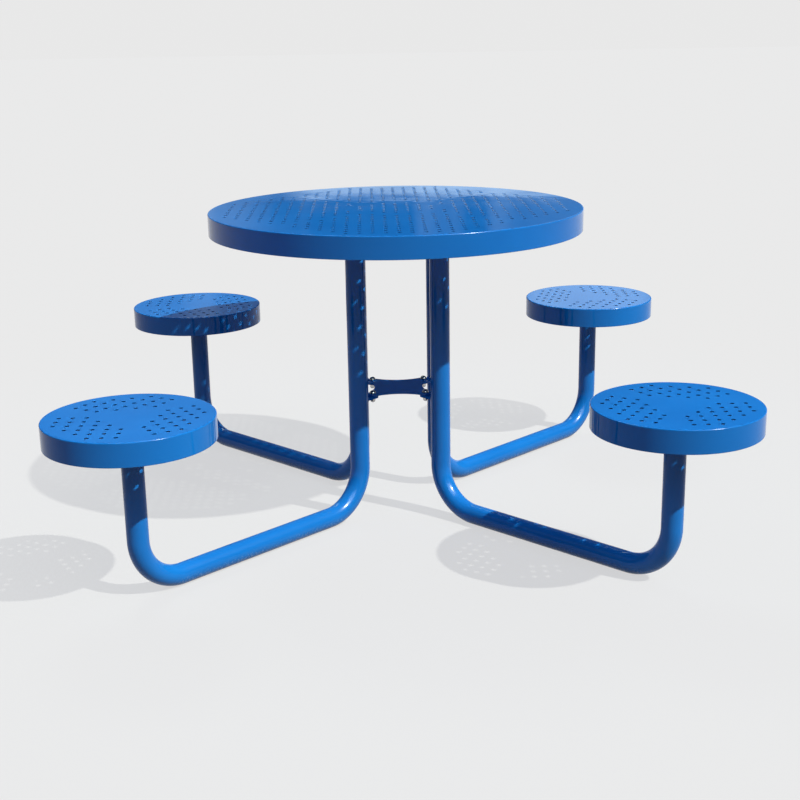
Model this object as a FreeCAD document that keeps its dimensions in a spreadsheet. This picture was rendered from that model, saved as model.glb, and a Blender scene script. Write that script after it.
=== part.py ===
import FreeCAD, Part
import Sketcher
import math
import os

# Round picnic table of painted steel: a perforated round top and four perforated round seats,
# carried by four bent tube legs that lie along the diagonals and are tied together by a centre plate.
# Millimetres, +Z up, origin on the ground on the axis of the top. The front looks along -Y.

DIMENSIONS = {
    # Round top
    "top_diameter": 914.0,
    "top_height": 762.0,
    "top_rim_depth": 52.0,
    # Round seats
    "seat_diameter": 366.0,
    "seat_height": 412.0,
    "seat_rim_depth": 52.0,
    "seat_circle_radius": 815.0,
    # Sheet metal of the top and the seats
    "sheet_thickness": 3.0,
    "sheet_edge_round": 2.5,
    "rim_thickness": 3.0,
    "rim_edge_round": 1.0,
    # Punched holes
    "perforation_diameter": 9.5,
    "perforation_pitch": 29.0,
    "perforation_margin": 30.0,
    "top_side_half_count": 4.0,
    "top_centre_half_count": 3.0,
    "seat_group_count": 6.0,
    "seat_group_half_width": 2.0,
    "seat_group_radius": 103.0,
    # Bent tube legs
    "inner_post_radius": 143.0,
    "tube_diameter": 48.3,
    "tube_wall": 3.0,
    "tube_bend_radius": 110.0,
    # Folded channels under the top
    "rib_width": 30.0,
    "rib_depth": 30.0,
    "rib_wall": 3.0,
    "rib_bend_round": 4.0,
    # Plate on the inner end of each leg
    "leg_plate_length": 130.0,
    "leg_plate_width": 50.0,
    "leg_plate_thickness": 6.0,
    "leg_plate_corner_round": 10.0,
    "leg_plate_bolt_spacing": 90.0,
    # Round flange on the outer end of each leg
    "seat_flange_diameter": 120.0,
    "seat_flange_thickness": 6.0,
    "seat_bolt_circle": 84.0,
    # Three armed spider under each seat
    "spider_disc_diameter": 120.0,
    "spider_arm_width": 30.0,
    "spider_arm_start": 40.0,
    "spider_depth": 25.0,
    "spider_wall": 4.0,
    # Centre plate and the ears that carry it
    "centre_plate_height": 309.0,
    "centre_plate_thickness": 5.0,
    "centre_plate_waist": 60.5,
    "centre_lobe_radius": 14.0,
    "centre_bolt_radius": 93.0,
    "ear_thickness": 6.0,
    # Bolts from below through the leg plates into the channels
    "top_bolt_diameter": 10.0,
    "top_bolt_flats": 16.0,
    "top_bolt_head_height": 6.4,
    "top_washer_diameter": 20.0,
    "top_washer_thickness": 2.0,
    "top_nut_flats": 16.0,
    "top_nut_height": 8.0,
    # Bolts from below through the seat flanges into the spiders
    "seat_bolt_diameter": 8.0,
    "seat_bolt_flats": 13.0,
    "seat_bolt_head_height": 5.3,
    "seat_washer_diameter": 16.0,
    "seat_washer_thickness": 1.6,
    "seat_nut_flats": 13.0,
    "seat_nut_height": 6.5,
    # Domed bolts from above through the centre plate and the ears, with domed nuts below
    "centre_bolt_diameter": 8.0,
    "centre_bolt_head_diameter": 16.0,
    "centre_bolt_head_height": 6.5,
    "centre_washer_diameter": 17.0,
    "centre_washer_thickness": 1.6,
    "centre_nut_flats": 13.0,
    "centre_nut_hex_height": 6.5,
    "centre_nut_dome_height": 5.5,
    "centre_nut_dome_diameter": 12.2,
    # Clearances
    "bolt_hole_clearance": 1.0,
    "thread_clearance": 0.2,
    "thread_overrun": 2.0,
    "weld_gap": 0.2,
}

DERIVED = {
    "top_underside": "dims.top_height - dims.sheet_thickness",
    "rib_underside": "derived.top_underside - dims.rib_depth",
    "rib_web_top": "derived.rib_underside + dims.rib_wall",
    "rib_upright": "dims.rib_depth - dims.rib_wall",
    "leg_plate_underside": "derived.rib_underside - dims.leg_plate_thickness",
    "top_rim_bottom": "dims.top_height - dims.top_rim_depth",
    "top_rim_height": "dims.top_rim_depth - dims.sheet_thickness",
    "top_rim_bore": "dims.top_diameter - 2 * dims.rim_thickness",
    "seat_underside": "dims.seat_height - dims.sheet_thickness",
    "spider_underside": "derived.seat_underside - dims.spider_depth",
    "spider_web_top": "derived.spider_underside + dims.spider_wall",
    "spider_upright": "dims.spider_depth - dims.spider_wall",
    "seat_flange_underside": "derived.spider_underside - dims.seat_flange_thickness",
    "seat_rim_bottom": "dims.seat_height - dims.seat_rim_depth",
    "seat_rim_height": "dims.seat_rim_depth - dims.sheet_thickness",
    "seat_rim_bore": "dims.seat_diameter - 2 * dims.rim_thickness",
    "tube_bore": "dims.tube_diameter - 2 * dims.tube_wall",
    "tube_axis_height": "dims.tube_diameter / 2",
    "centre_plate_underside": "dims.centre_plate_height - dims.centre_plate_thickness",
    "ear_underside": "derived.centre_plate_underside - dims.ear_thickness",
    "ear_cope_diameter": "dims.tube_diameter + 2 * dims.weld_gap",
    "top_bolt_hole": "dims.top_bolt_diameter + dims.bolt_hole_clearance",
    "top_nut_bore": "dims.top_bolt_diameter + dims.thread_clearance",
    "top_bolt_length": "dims.top_washer_thickness + dims.leg_plate_thickness + dims.rib_wall"
                       " + dims.top_nut_height + dims.thread_overrun",
    "seat_bolt_hole": "dims.seat_bolt_diameter + dims.bolt_hole_clearance",
    "seat_nut_bore": "dims.seat_bolt_diameter + dims.thread_clearance",
    "seat_bolt_length": "dims.seat_washer_thickness + dims.seat_flange_thickness + dims.spider_wall"
                        " + dims.seat_nut_height + dims.thread_overrun",
    "centre_bolt_hole": "dims.centre_bolt_diameter + dims.bolt_hole_clearance",
    "centre_nut_bore": "dims.centre_bolt_diameter + dims.thread_clearance",
    "centre_bolt_length": "dims.centre_washer_thickness + dims.centre_plate_thickness"
                          " + dims.ear_thickness + dims.centre_nut_hex_height",
    "centre_nut_bore_depth": "dims.centre_nut_hex_height + dims.thread_overrun",
}

# Directions of the four legs, in degrees about the axis of the top
LEGS = {"front_left": -135.0, "front_right": -45.0, "rear_right": 45.0, "rear_left": 135.0}
# Directions on a seat, in degrees from the one that points away from the table
SEAT_GROUPS = (0.0, 120.0, 240.0)
SPIDER_ARMS = (60.0, 180.0, 300.0)
DIAGONAL = 45.0

TOLERANCE = 1e-4
ORIGIN = FreeCAD.Vector(0, 0, 0)
UP = FreeCAD.Vector(0, 0, 1)

doc = FreeCAD.newDocument("round_picnic_table")


def make_dimensions():
    """The sheet of driving sizes, and the sizes that follow from them."""
    sheet = doc.addObject("Spreadsheet::Sheet", "dims")
    for row, (name, number) in enumerate(DIMENSIONS.items(), start=1):
        sheet.set(f"A{row}", name)
        sheet.set(f"B{row}", str(number))
        sheet.setAlias(f"B{row}", name)
    doc.recompute()
    derived = doc.addObject("App::VarSet", "derived")
    for name in DERIVED:
        derived.addProperty("App::PropertyFloat", name)
    for name, formula in DERIVED.items():
        derived.setExpression(name, formula)
    doc.recompute()
    return sheet, derived


dims, derived = make_dimensions()
nodes = []


def ref(name):
    """Expression for one size."""
    return f"dims.{name}" if name in DIMENSIONS else f"derived.{name}"


def size(name):
    """Number of one size."""
    return float(getattr(dims if name in DIMENSIONS else derived, name))


def turned(angle):
    """Placement turned about the axis of the top."""
    return FreeCAD.Placement(ORIGIN, FreeCAD.Rotation(UP, angle))


def polar(radius, angle):
    """Point at a radius and an angle in degrees."""
    return FreeCAD.Vector(radius * math.cos(math.radians(angle)), radius * math.sin(math.radians(angle)), 0)


def new_body(label, angle=0.0, is_node=True):
    """Body of one sub-part, modelled with its leg along +X and turned into place."""
    body = doc.addObject("PartDesign::Body", label)
    body.Label = label
    body.Placement = turned(angle)
    if is_node:
        nodes.append(body)
    return body


def new_sketch(body, name, plane="XY_Plane", shift=None, lift=None):
    """Sketch on an origin plane, moved along the leg by one size and up by another."""
    sketch = body.newObject("Sketcher::SketchObject", f"{body.Name}_{name}")
    support = next(item for item in body.Origin.OriginFeatures if item.Role == plane)
    sketch.AttachmentSupport = [(support, "")]
    sketch.MapMode = "FlatFace"
    if shift:
        sketch.setExpression("AttachmentOffset.Base.x", ref(shift))
    if lift:
        sketch.setExpression("AttachmentOffset.Base.z", ref(lift))
    return sketch


def bind(sketch, constraint, name):
    """Add a constraint and tie its value to one size."""
    index = sketch.addConstraint(constraint)
    sketch.setExpression(f"Constraints[{index}]", ref(name))


def add_circle(sketch, diameter):
    """Circle about the sketch's own origin."""
    index = sketch.addGeometry(Part.Circle(ORIGIN, UP, size(diameter) / 2))
    sketch.addConstraint(Sketcher.Constraint("Coincident", index, 3, -1, 1))
    bind(sketch, Sketcher.Constraint("Diameter", index, size(diameter)), diameter)


def add_holes(sketch, diameter, places):
    """Equal round holes at the places."""
    first = sketch.addGeometry(Part.Circle(places[0], UP, size(diameter) / 2))
    bind(sketch, Sketcher.Constraint("Diameter", first, size(diameter)), diameter)
    rest = sketch.addGeometry([Part.Circle(place, UP, size(diameter) / 2) for place in places[1:]])
    sketch.addConstraint([Sketcher.Constraint("Equal", first, index) for index in rest])


def add_outline(sketch, points):
    """Closed outline of straight lines through the points."""
    sides = [Part.LineSegment(start, end) for start, end in zip(points, points[1:] + points[:1])]
    return sketch.addGeometry(sides)


def add_rectangle(sketch, length, width):
    """Rectangle about the sketch's own origin."""
    half_length = size(length) / 2
    half_width = size(width) / 2
    signs = ((-1, -1), (1, -1), (1, 1), (-1, 1))
    corners = [FreeCAD.Vector(x * half_length, y * half_width, 0) for x, y in signs]
    sides = add_outline(sketch, corners)
    for n in range(4):
        sketch.addConstraint(Sketcher.Constraint("Coincident", sides[n], 2, sides[(n + 1) % 4], 1))
        sketch.addConstraint(Sketcher.Constraint("Vertical" if n % 2 else "Horizontal", sides[n]))
    sketch.addConstraint(Sketcher.Constraint("Symmetric", sides[0], 1, sides[1], 2, -1, 1))
    bind(sketch, Sketcher.Constraint("DistanceX", sides[0], 1, sides[0], 2, size(length)), length)
    bind(sketch, Sketcher.Constraint("DistanceY", sides[1], 1, sides[1], 2, size(width)), width)


def pad(body, sketch, length):
    """Sheet or block of one thickness above a sketch."""
    feature = body.newObject("PartDesign::Pad", f"{sketch.Name}_pad")
    feature.Profile = sketch
    feature.setExpression("Length", ref(length))
    doc.recompute()
    return feature


def fillet(body, base, radius, chosen):
    """Round the edges of a feature that the test picks."""
    names = [f"Edge{n}" for n, edge in enumerate(base.Shape.Edges, start=1) if chosen(edge)]
    feature = body.newObject("PartDesign::Fillet", f"{base.Name}_round")
    feature.Base = (base, names)
    feature.setExpression("Radius", ref(radius))
    doc.recompute()
    return feature


def circle_edge(edge, radius, height):
    """Whether an edge is a level circle of that radius at that height."""
    if not isinstance(edge.Curve, Part.Circle):
        return False
    level = abs(edge.BoundBox.ZMin - height) < TOLERANCE and abs(edge.BoundBox.ZMax - height) < TOLERANCE
    return level and abs(edge.Curve.Radius - radius) < TOLERANCE


def low_edge_along(edge, height, offset):
    """Whether an edge runs along +X at that height, to one side or the other by the offset."""
    box = edge.BoundBox
    level = abs(box.ZMax - height) < TOLERANCE and abs(box.ZMin - height) < TOLERANCE
    beside = abs(abs(box.YMin) - offset) < TOLERANCE and abs(box.YMax - box.YMin) < TOLERANCE
    return level and beside and box.XLength > offset


def straight_end(bore, width):
    """How far a straight bar of that width reaches from the middle of a round rim before it meets it."""
    radius = size(bore) / 2 - size("weld_gap")
    return math.sqrt(radius ** 2 - (size(width) / 2) ** 2)


def top_perforations():
    """Places of the holes in the top: a square grid in an octagon, blank over the channels,
    with a centre group set apart by a blank ring."""
    pitch = size("perforation_pitch")
    reach = size("top_diameter") / 2 - size("perforation_margin")
    count = int(reach // pitch)
    corner = count + int(size("top_side_half_count"))
    centre = int(size("top_centre_half_count"))
    blank = (size("rib_width") + size("perforation_diameter")) / 2
    places = []
    for column in range(-count, count + 1):
        for row in range(-count, count + 1):
            across, total = max(abs(column), abs(row)), abs(column) + abs(row)
            in_centre = across <= centre and total <= centre + 1
            in_ring = not in_centre and across <= centre + 1 and total <= centre + 2
            over_rib = abs(abs(column) - abs(row)) * pitch / math.sqrt(2) < blank
            in_reach = total <= corner and math.hypot(column, row) * pitch <= reach
            if in_centre or (in_reach and not in_ring and not over_rib):
                places.append(FreeCAD.Vector(column * pitch, row * pitch, 0))
    return places


def seat_perforations():
    """Places of the holes in a seat: three groups of a slanted square grid, blank over the spider."""
    pitch = size("perforation_pitch")
    count = int(size("seat_group_count"))
    places = []
    for angle in SEAT_GROUPS:
        for row in range(count):
            for column in range(count):
                if abs(column - row) <= size("seat_group_half_width"):
                    outward = size("seat_group_radius") + (row - column) * pitch / math.sqrt(2)
                    across = (column + row - count + 1) * pitch / math.sqrt(2)
                    places.append(turned(angle).multVec(FreeCAD.Vector(outward, across, 0)))
    return places


def perforated_disc(label, diameter, level, top, places, angle=0.0, shift=None):
    """Flat round sheet with punched holes and a rounded upper edge."""
    body = new_body(label, angle)
    outline = new_sketch(body, "outline", shift=shift, lift=level)
    add_circle(outline, diameter)
    add_holes(outline, "perforation_diameter", places)
    sheet = pad(body, outline, "sheet_thickness")
    fillet(body, sheet, "sheet_edge_round", lambda edge: circle_edge(edge, size(diameter) / 2, size(top)))


def rim_band(label, outer, bore, bottom, height, angle=0.0, shift=None):
    """Rolled flat bar under the edge of a round sheet, with eased lower edges."""
    body = new_body(label, angle)
    outline = new_sketch(body, "outline", shift=shift, lift=bottom)
    add_circle(outline, outer)
    add_circle(outline, bore)
    band = pad(body, outline, height)
    radii = (size(outer) / 2, size(bore) / 2)
    fillet(body, band, "rim_edge_round",
           lambda edge: any(circle_edge(edge, radius, size(bottom)) for radius in radii))


def channel(label, angle, start, end, bolt_places):
    """Folded channel under the top, open upwards, with bolt holes in its web."""
    body = new_body(label, angle)
    half = size("rib_width") / 2
    inside = half - size("rib_wall")
    web = new_sketch(body, "web", lift="rib_underside")
    add_outline(web, [FreeCAD.Vector(x, y, 0)
                      for x, y in ((start, -half), (end, -half), (end, half), (start, half))])
    add_holes(web, "top_bolt_hole", [FreeCAD.Vector(x, 0, 0) for x in bolt_places])
    pad(body, web, "rib_wall")
    uprights = new_sketch(body, "uprights", lift="rib_web_top")
    for low, high in ((-half, -inside), (inside, half)):
        add_outline(uprights, [FreeCAD.Vector(x, y, 0)
                               for x, y in ((start, low), (end, low), (end, high), (start, high))])
    sides = pad(body, uprights, "rib_upright")
    fillet(body, sides, "rib_bend_round",
           lambda edge: low_edge_along(edge, size("rib_underside"), half))


def top_bolt_radii():
    """Distances of a leg plate's two bolts from the axis of the top."""
    half = size("leg_plate_bolt_spacing") / 2
    return [size("inner_post_radius") - half, size("inner_post_radius") + half]


def make_top():
    """Perforated top, its rim and the crossed channels that stiffen it."""
    perforated_disc("table_top_sheet", "top_diameter", "top_underside", "top_height", top_perforations())
    rim_band("table_top_rim", "top_diameter", "top_rim_bore", "top_rim_bottom", "top_rim_height")
    end = straight_end("top_rim_bore", "rib_width")
    radii = top_bolt_radii()
    channel("table_rib_long", DIAGONAL, -end, end, radii + [-radius for radius in radii])
    inner_end = size("rib_width") / 2
    channel("table_rib_short_left", 3 * DIAGONAL, inner_end, end, radii)
    channel("table_rib_short_right", -DIAGONAL, inner_end, end, radii)


def leg_tube(label, angle):
    """Bent tube: down from the top, along the ground and up to the seat."""
    body = new_body(label, angle)
    inner, outer = size("inner_post_radius"), size("seat_circle_radius")
    low, bend = size("tube_axis_height"), size("tube_bend_radius")
    top, seat = size("leg_plate_underside"), size("seat_flange_underside")
    corner = bend * (1 - math.sqrt(0.5))
    points = [FreeCAD.Vector(x, z, 0) for x, z in (
        (inner, top), (inner, low + bend), (inner + corner, low + corner), (inner + bend, low),
        (outer - bend, low), (outer - corner, low + corner), (outer, low + bend), (outer, seat))]
    path = new_sketch(body, "path", plane="XZ_Plane")
    post, heel, run, toe, rise = path.addGeometry([
        Part.LineSegment(points[0], points[1]),
        Part.Arc(points[1], points[2], points[3]),
        Part.LineSegment(points[3], points[4]),
        Part.Arc(points[4], points[5], points[6]),
        Part.LineSegment(points[6], points[7])])
    path.addConstraint([
        Sketcher.Constraint("Tangent", post, 2, heel, 1),
        Sketcher.Constraint("Tangent", heel, 2, run, 1),
        Sketcher.Constraint("Tangent", run, 2, toe, 1),
        Sketcher.Constraint("Tangent", toe, 2, rise, 1),
        Sketcher.Constraint("Vertical", post),
        Sketcher.Constraint("Horizontal", run),
        Sketcher.Constraint("Vertical", rise),
        Sketcher.Constraint("Equal", heel, toe)])
    bind(path, Sketcher.Constraint("Radius", heel, bend), "tube_bend_radius")
    bind(path, Sketcher.Constraint("DistanceX", -1, 1, post, 1, inner), "inner_post_radius")
    bind(path, Sketcher.Constraint("DistanceY", -1, 1, post, 1, top), "leg_plate_underside")
    bind(path, Sketcher.Constraint("DistanceY", -1, 1, run, 1, low), "tube_axis_height")
    bind(path, Sketcher.Constraint("DistanceX", -1, 1, rise, 2, outer), "seat_circle_radius")
    bind(path, Sketcher.Constraint("DistanceY", -1, 1, rise, 2, seat), "seat_flange_underside")
    section = new_sketch(body, "section", shift="inner_post_radius", lift="leg_plate_underside")
    add_circle(section, "tube_diameter")
    add_circle(section, "tube_bore")
    pipe = body.newObject("PartDesign::AdditivePipe", f"{label}_pipe")
    pipe.Profile = section
    pipe.Spine = (path, [])
    doc.recompute()


def leg_top_plate(label, angle):
    """Rounded plate on the upper end of a leg, with a bolt hole to either side of the tube."""
    body = new_body(label, angle)
    outline = new_sketch(body, "outline", shift="inner_post_radius", lift="leg_plate_underside")
    add_rectangle(outline, "leg_plate_length", "leg_plate_width")
    half = size("leg_plate_bolt_spacing") / 2
    add_holes(outline, "top_bolt_hole", [FreeCAD.Vector(x, 0, 0) for x in (-half, half)])
    plate = pad(body, outline, "leg_plate_thickness")
    fillet(body, plate, "leg_plate_corner_round",
           lambda edge: isinstance(edge.Curve, Part.Line) and edge.BoundBox.ZLength > TOLERANCE)


def seat_bolt_places():
    """Places of a seat's bolts about its middle."""
    return [polar(size("seat_bolt_circle") / 2, angle) for angle in SEAT_GROUPS]


def leg_seat_flange(label, angle):
    """Round flange on the seat end of a leg."""
    body = new_body(label, angle)
    outline = new_sketch(body, "outline", shift="seat_circle_radius", lift="seat_flange_underside")
    add_circle(outline, "seat_flange_diameter")
    add_holes(outline, "seat_bolt_hole", seat_bolt_places())
    pad(body, outline, "seat_flange_thickness")


def leg_ear(label, angle):
    """Flat ear on the inner side of a leg, round about its bolt and coped to the tube."""
    body = new_body(label, angle)
    lobe, bolt = size("centre_lobe_radius"), size("centre_bolt_radius")
    cope = size("ear_cope_diameter") / 2
    root = size("inner_post_radius") - math.sqrt(cope ** 2 - lobe ** 2)
    outline = new_sketch(body, "outline", lift="ear_underside")
    upper, lower = FreeCAD.Vector(bolt, lobe, 0), FreeCAD.Vector(bolt, -lobe, 0)
    root_upper, root_lower = FreeCAD.Vector(root, lobe, 0), FreeCAD.Vector(root, -lobe, 0)
    outline.addGeometry([
        Part.Arc(upper, FreeCAD.Vector(bolt - lobe, 0, 0), lower),
        Part.LineSegment(lower, root_lower),
        Part.Arc(root_lower, FreeCAD.Vector(size("inner_post_radius") - cope, 0, 0), root_upper),
        Part.LineSegment(root_upper, upper)])
    add_holes(outline, "centre_bolt_hole", [FreeCAD.Vector(bolt, 0, 0)])
    pad(body, outline, "ear_thickness")


def make_legs():
    """The four legs, each a bent tube with its plate, flange and ear."""
    for name, angle in LEGS.items():
        leg_tube(f"leg_tube_{name}", angle)
        leg_top_plate(f"leg_top_plate_{name}", angle)
        leg_seat_flange(f"leg_seat_flange_{name}", angle)
        leg_ear(f"leg_ear_{name}", angle)


def seat_spider(label, angle):
    """Pressed spider under a seat: a disc that takes the bolts and three folded arms out to the rim."""
    body = new_body(label, angle)
    disc = new_sketch(body, "disc", shift="seat_circle_radius", lift="spider_underside")
    add_circle(disc, "spider_disc_diameter")
    add_holes(disc, "seat_bolt_hole", seat_bolt_places())
    pad(body, disc, "spider_wall")
    half = size("spider_arm_width") / 2
    inside = half - size("spider_wall")
    start = size("spider_arm_start")
    end = straight_end("seat_rim_bore", "spider_arm_width")
    webs = new_sketch(body, "webs", shift="seat_circle_radius", lift="spider_underside")
    uprights = new_sketch(body, "uprights", shift="seat_circle_radius", lift="spider_web_top")
    for arm in SPIDER_ARMS:
        strips = ((webs, -half, half), (uprights, -half, -inside), (uprights, inside, half))
        for sketch, low, high in strips:
            corners = ((start, low), (end, low), (end, high), (start, high))
            add_outline(sketch, [turned(arm).multVec(FreeCAD.Vector(x, y, 0)) for x, y in corners])
    pad(body, webs, "spider_wall")
    pad(body, uprights, "spider_upright")


def make_seats():
    """The four seats, each a perforated sheet on a rim and a spider."""
    for name, angle in LEGS.items():
        perforated_disc(f"seat_sheet_{name}", "seat_diameter", "seat_underside", "seat_height",
                        seat_perforations(), angle, "seat_circle_radius")
        rim_band(f"seat_rim_{name}", "seat_diameter", "seat_rim_bore", "seat_rim_bottom",
                 "seat_rim_height", angle, "seat_circle_radius")
        seat_spider(f"seat_spider_{name}", angle)


def centre_bolt_places():
    """Places of the bolts that join the centre plate to the ears."""
    return [polar(size("centre_bolt_radius"), angle) for angle in LEGS.values()]


def make_centre_plate():
    """Four lobed plate that ties the legs together, with a hollow curve between its lobes."""
    body = new_body("centre_plate")
    lobe, waist = size("centre_lobe_radius"), size("centre_plate_waist")
    offset = size("centre_bolt_radius") / math.sqrt(2)
    # Each hollow side is an arc tangent to its two lobes that comes as near to the middle as the waist
    step = offset - waist
    hollow = (offset ** 2 + step ** 2 - lobe ** 2) / (2 * (lobe + step))
    centre = FreeCAD.Vector(waist + hollow, 0, 0)
    bolt = FreeCAD.Vector(offset, offset, 0)
    touch = centre + (bolt - centre) * (hollow / (hollow + lobe))
    outline = new_sketch(body, "outline", lift="centre_plate_underside")
    tip = bolt + FreeCAD.Vector(1, 1, 0).normalize() * lobe
    for quarter in range(4):
        turn = turned(90.0 * quarter)
        points = (FreeCAD.Vector(touch.x, -touch.y, 0), FreeCAD.Vector(waist, 0, 0), touch, tip,
                  FreeCAD.Vector(touch.y, touch.x, 0))
        start, inmost, end, tip_end, next_start = [turn.multVec(point) for point in points]
        outline.addGeometry([Part.Arc(start, inmost, end), Part.Arc(end, tip_end, next_start)])
    add_holes(outline, "centre_bolt_hole", centre_bolt_places())
    pad(body, outline, "centre_plate_thickness")


def hexagon(flats):
    """Corners of a hexagon of that width across its flats."""
    return [polar(size(flats) / math.sqrt(3), 60.0 * n) for n in range(6)]


def hex_bolt(name, diameter, length, flats, head_height):
    """Bolt that points up, with the bearing face of its head at the origin."""
    body = new_body(name, is_node=False)
    shank = new_sketch(body, "shank")
    add_circle(shank, diameter)
    pad(body, shank, length)
    outline = new_sketch(body, "head")
    add_outline(outline, hexagon(flats))
    head = pad(body, outline, head_height)
    head.Reversed = True
    doc.recompute()
    return body


def hex_nut(name, bore, flats, height):
    """Nut that stands on the origin."""
    body = new_body(name, is_node=False)
    outline = new_sketch(body, "outline")
    add_outline(outline, hexagon(flats))
    add_circle(outline, bore)
    pad(body, outline, height)
    return body


def washer(name, outer, bore, thickness):
    """Flat washer that lies on the origin."""
    body = new_body(name, is_node=False)
    outline = new_sketch(body, "outline")
    add_circle(outline, outer)
    add_circle(outline, bore)
    pad(body, outline, thickness)
    return body


def revolve(body, name, points):
    """Solid turned about the upright axis, from lines of two points and arcs of three."""
    sketch = new_sketch(body, name, plane="XZ_Plane")
    for piece in points:
        curve = Part.Arc(*piece) if len(piece) == 3 else Part.LineSegment(*piece)
        sketch.addGeometry(curve)
    feature = body.newObject("PartDesign::Revolution", f"{sketch.Name}_turned")
    feature.Profile = sketch
    feature.ReferenceAxis = (sketch, ["V_Axis"])
    doc.recompute()
    return feature


def dome(radius, height, base):
    """Outline of a round cap that bulges by the height above or below its base."""
    middle = FreeCAD.Vector(0, base, 0)
    edge = FreeCAD.Vector(radius, base, 0)
    tip = FreeCAD.Vector(0, base + height, 0)
    sphere = (radius ** 2 + height ** 2) / (2 * abs(height))
    half = math.asin(min(1.0, radius / sphere)) / 2
    drop = math.copysign(sphere * (1 - math.cos(half)), height)
    between = FreeCAD.Vector(sphere * math.sin(half), base + height - drop, 0)
    return [(middle, edge), (edge, between, tip), (tip, middle)]


def dome_bolt(name):
    """Round headed bolt that points down, with the bearing face of its head at the origin."""
    body = new_body(name, is_node=False)
    outline = new_sketch(body, "shank")
    add_circle(outline, "centre_bolt_diameter")
    shank = pad(body, outline, "centre_bolt_length")
    shank.Reversed = True
    head_radius = size("centre_bolt_head_diameter") / 2
    revolve(body, "head", dome(head_radius, size("centre_bolt_head_height"), 0.0))
    return body


def dome_nut(name):
    """Domed nut that hangs from the origin, with a blind bore."""
    body = new_body(name, is_node=False)
    outline = new_sketch(body, "outline")
    add_outline(outline, hexagon("centre_nut_flats"))
    prism = pad(body, outline, "centre_nut_hex_height")
    prism.Reversed = True
    revolve(body, "dome", dome(size("centre_nut_dome_diameter") / 2, -size("centre_nut_dome_height"),
                               -size("centre_nut_hex_height")))
    bore = new_sketch(body, "bore")
    add_circle(bore, "centre_nut_bore")
    pocket = body.newObject("PartDesign::Pocket", f"{name}_pocket")
    pocket.Profile = bore
    pocket.setExpression("Length", ref("centre_nut_bore_depth"))
    doc.recompute()
    return body


def group(label, master, places):
    """Node that holds one copy of a fastener at each place."""
    node = doc.addObject("Part::Feature", label)
    node.Label = label
    copies = []
    for place in places:
        copy = master.Shape.copy()
        copy.Placement = FreeCAD.Placement(place, FreeCAD.Rotation()) * copy.Placement
        copies.append(copy)
    node.Shape = Part.Compound(copies)
    node.Placement = turned(0.0)
    nodes.append(node)


def at_height(places, height):
    """The places, lifted to that height."""
    return [FreeCAD.Vector(place.x, place.y, height) for place in places]


def make_fasteners():
    """Bolts, washers and nuts, each kind one node."""
    top_places = [polar(radius, angle) for angle in LEGS.values() for radius in top_bolt_radii()]
    seat_places = [turned(angle).multVec(place + FreeCAD.Vector(size("seat_circle_radius"), 0, 0))
                   for angle in LEGS.values() for place in seat_bolt_places()]
    for name, places, plate, web in (("top", top_places, "leg_plate_underside", "rib_web_top"),
                                     ("seat", seat_places, "seat_flange_underside", "spider_web_top")):
        washer_bottom = size(plate) - size(f"{name}_washer_thickness")
        bolt = hex_bolt(f"{name}_bolt", f"{name}_bolt_diameter", f"{name}_bolt_length",
                        f"{name}_bolt_flats", f"{name}_bolt_head_height")
        ring = washer(f"{name}_washer", f"{name}_washer_diameter", f"{name}_bolt_hole",
                      f"{name}_washer_thickness")
        nut = hex_nut(f"{name}_nut", f"{name}_nut_bore", f"{name}_nut_flats", f"{name}_nut_height")
        group(f"{name}_mount_bolts", bolt, at_height(places, washer_bottom))
        group(f"{name}_mount_washers", ring, at_height(places, washer_bottom))
        group(f"{name}_weld_nuts", nut, at_height(places, size(web)))
    centre_places = centre_bolt_places()
    head_bottom = size("centre_plate_height") + size("centre_washer_thickness")
    group("centre_bolts", dome_bolt("centre_bolt"), at_height(centre_places, head_bottom))
    ring = washer("centre_washer", "centre_washer_diameter", "centre_bolt_hole", "centre_washer_thickness")
    group("centre_washers", ring, at_height(centre_places, size("centre_plate_height")))
    group("centre_dome_nuts", dome_nut("centre_nut"), at_height(centre_places, size("ear_underside")))


def write_nodes():
    """Check every object, then write each sub-part to its own file."""
    doc.recompute()
    for item in doc.Objects:
        if {"Invalid", "Error"} & set(item.State):
            raise RuntimeError(f"{item.Name} failed: {item.State}")
    for node in nodes:
        if node.Shape.isNull() or not node.Shape.isValid() or not node.Shape.Solids:
            raise RuntimeError(f"{node.Label} has no sound shape")
    os.makedirs("parts", exist_ok=True)
    for node in nodes:
        node.Shape.exportStep(f"parts/{node.Label}.step")
        print(f"{node.Label}: {len(node.Shape.Solids)} solid(s), {node.Shape.Volume / 1000:.1f} cm3")


make_top()
make_legs()
make_seats()
make_centre_plate()
make_fasteners()
write_nodes()
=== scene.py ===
import math
from collections import namedtuple

import bpy
from mathutils import Matrix, Vector
from mathutils.geometry import delaunay_2d_cdt


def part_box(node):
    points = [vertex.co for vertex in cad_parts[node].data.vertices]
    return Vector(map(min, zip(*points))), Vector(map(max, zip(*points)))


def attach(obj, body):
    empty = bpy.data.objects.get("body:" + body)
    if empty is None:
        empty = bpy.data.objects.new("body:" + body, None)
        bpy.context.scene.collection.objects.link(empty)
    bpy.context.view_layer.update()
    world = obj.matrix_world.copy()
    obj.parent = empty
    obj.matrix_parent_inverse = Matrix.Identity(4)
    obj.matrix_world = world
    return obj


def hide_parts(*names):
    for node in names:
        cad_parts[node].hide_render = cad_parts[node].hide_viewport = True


# Looks of the round picnic table: glossy blue powder coat on perforated sheet and bent tube,
# stainless domed fasteners at the centre plate and zinc plated bolts under the top and the seats.
# Metres and degrees, in the frame of the solids: +Z up, the legs on the diagonals, -Y towards the camera.

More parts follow.
